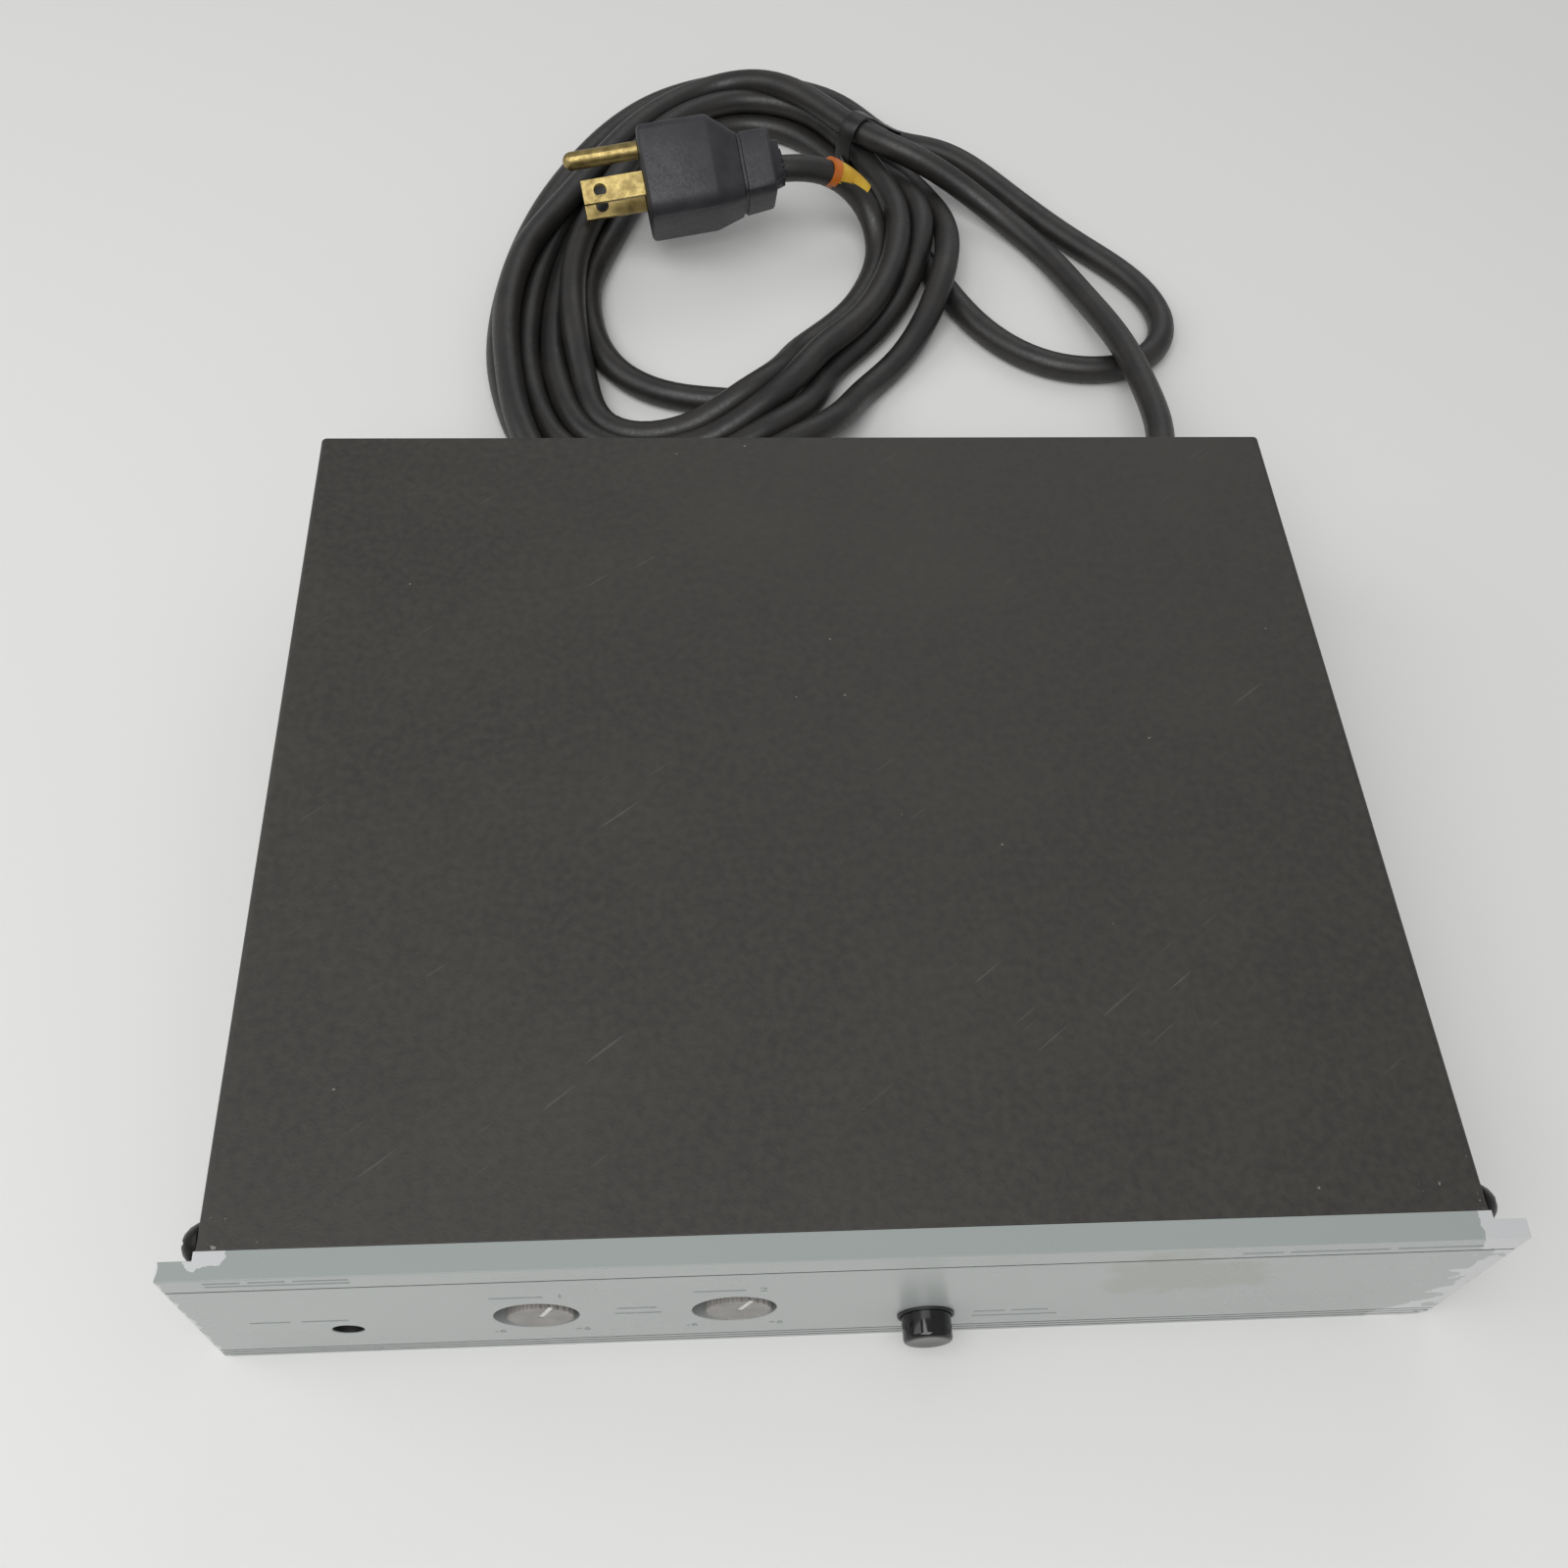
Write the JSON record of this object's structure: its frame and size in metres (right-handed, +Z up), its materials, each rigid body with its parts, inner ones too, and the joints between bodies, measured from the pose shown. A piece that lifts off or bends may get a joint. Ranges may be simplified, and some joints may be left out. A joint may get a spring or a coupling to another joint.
{
  "type": "half-rack audio level interface",
  "caption": "Low half-rack audio interface: flat sheet-metal case, thin front panel with recessed trim knobs, a push-button and lamp, XLR and phono sockets at the back, and a coiled mains cord.",
  "frame": {"origin": "under the middle of the case, on the surface that it stands on, measured without the free mains cord", "axes": "+X to the right seen from the front, +Y from the front panel to the rear panel, +Z up"},
  "size_m": [0.2187, 0.3772, 0.0444],
  "materials": {
    "panel_paint": "smooth silver-grey paint",
    "cover_paint": "fine-textured dark grey paint",
    "zinc_steel": "bright zinc plate",
    "bare_steel": "plain tinned or turned steel",
    "black_steel": "black oxide",
    "board": "green solder mask",
    "black_plastic": "moulded, satin",
    "gloss_black": "moulded, gloss",
    "grey_plastic": "moulded, satin",
    "white_plastic": "moulded, satin",
    "lamp_lens": "cast tinted epoxy",
    "core_steel": "varnished laminations",
    "winding_tape": "yellow polyester tape",
    "blue_sleeve": "shrink sleeve",
    "black_aluminium": "black anodised",
    "fuse_glass": "clear tube",
    "resistor_body": "lacquered",
    "phono_plastic": "moulded",
    "contact_brass": "worn brass",
    "cord_rubber": "smooth black jacket and mouldings",
    "tie_vinyl": "plastic-covered wire tie"
  },
  "bodies": {
    "case": {"front_panel": "panel_paint", "panel_bracket_left": "zinc_steel", "panel_bracket_right": "zinc_steel", "bracket_screws": "zinc_steel", "top_cover": "cover_paint", "chassis_pan": "zinc_steel", "rear_panel": "cover_paint", "side_screw_left": "black_steel", "side_screw_right": "black_steel", "rear_cover_screws": "black_steel", "circuit_board": "board", "standoffs": "zinc_steel", "board_screws": "zinc_steel", "trim_pot_1": "black_plastic", "trim_pot_2": "black_plastic", "indicator_lamp": "lamp_lens", "lamp_holder": "black_plastic", "button_bezel": "black_plastic", "push_switch": "bare_steel", "transformer_core": "core_steel", "transformer_coil": "winding_tape", "transformer_strap": "zinc_steel", "bridge_rectifier": "black_plastic", "filter_capacitors": "blue_sleeve", "voltage_regulators": "black_plastic", "heat_sink": "black_aluminium", "fuse_clips": "bare_steel", "mains_fuse": "fuse_glass", "op_amps": "black_plastic", "signal_capacitors": "blue_sleeve", "resistors": "resistor_body", "input_socket_1": "black_steel", "input_socket_2": "black_steel", "input_insert_1": "black_plastic", "input_insert_2": "black_plastic", "output_socket_1": "black_steel", "output_socket_2": "black_steel", "output_inserts": "black_plastic", "output_pins": "contact_brass", "socket_screws": "black_steel", "phono_block": "black_plastic", "phono_barrels": "contact_brass", "phono_insulators": "phono_plastic", "cord_grip": "cord_rubber", "cord_lead": "cord_rubber", "cord_side_loop": "cord_rubber", "cord_coil": "cord_rubber", "cord_plug_lead": "cord_rubber", "cord_tie": "tie_vinyl", "plug_body": "cord_rubber", "plug_blades": "contact_brass", "plug_earth_pin": "contact_brass"},
    "channel_1_knob": {"trim_knob_1": "grey_plastic", "pot_shaft_1": "bare_steel"},
    "channel_2_knob": {"trim_knob_2": "grey_plastic", "pot_shaft_2": "bare_steel"},
    "push_button": {"button_cap": "gloss_black", "switch_plunger": "white_plastic"},
    "latch_1": {"input_latch_1": "bare_steel"},
    "latch_2": {"input_latch_2": "bare_steel"}
  },
  "joints": [
    {"name": "channel_1_trim", "type": "hinge", "parent": "case", "child": "channel_1_knob", "pos_m": [-0.0515, -0.092, 0.0189], "axis": [0, 1, 0], "range_deg": [-171, 129]},
    {"name": "channel_2_trim", "type": "hinge", "parent": "case", "child": "channel_2_knob", "pos_m": [-0.0184, -0.092, 0.0189], "axis": [0, 1, 0], "range_deg": [-171, 129]},
    {"name": "button_press", "type": "slide", "parent": "case", "child": "push_button", "axis": [0, 1, 0], "range_m": [0, 0.0035], "stiffness_N_per_m": 300, "springref_m": -0.004},
    {"name": "latch_1_press", "type": "slide", "parent": "case", "child": "latch_1", "axis": [0, -1, 0], "range_m": [0, 0.002], "stiffness_N_per_m": 600, "springref_m": -0.003},
    {"name": "latch_2_press", "type": "slide", "parent": "case", "child": "latch_2", "axis": [0, -1, 0], "range_m": [0, 0.002], "stiffness_N_per_m": 600, "springref_m": -0.003}
  ]
}
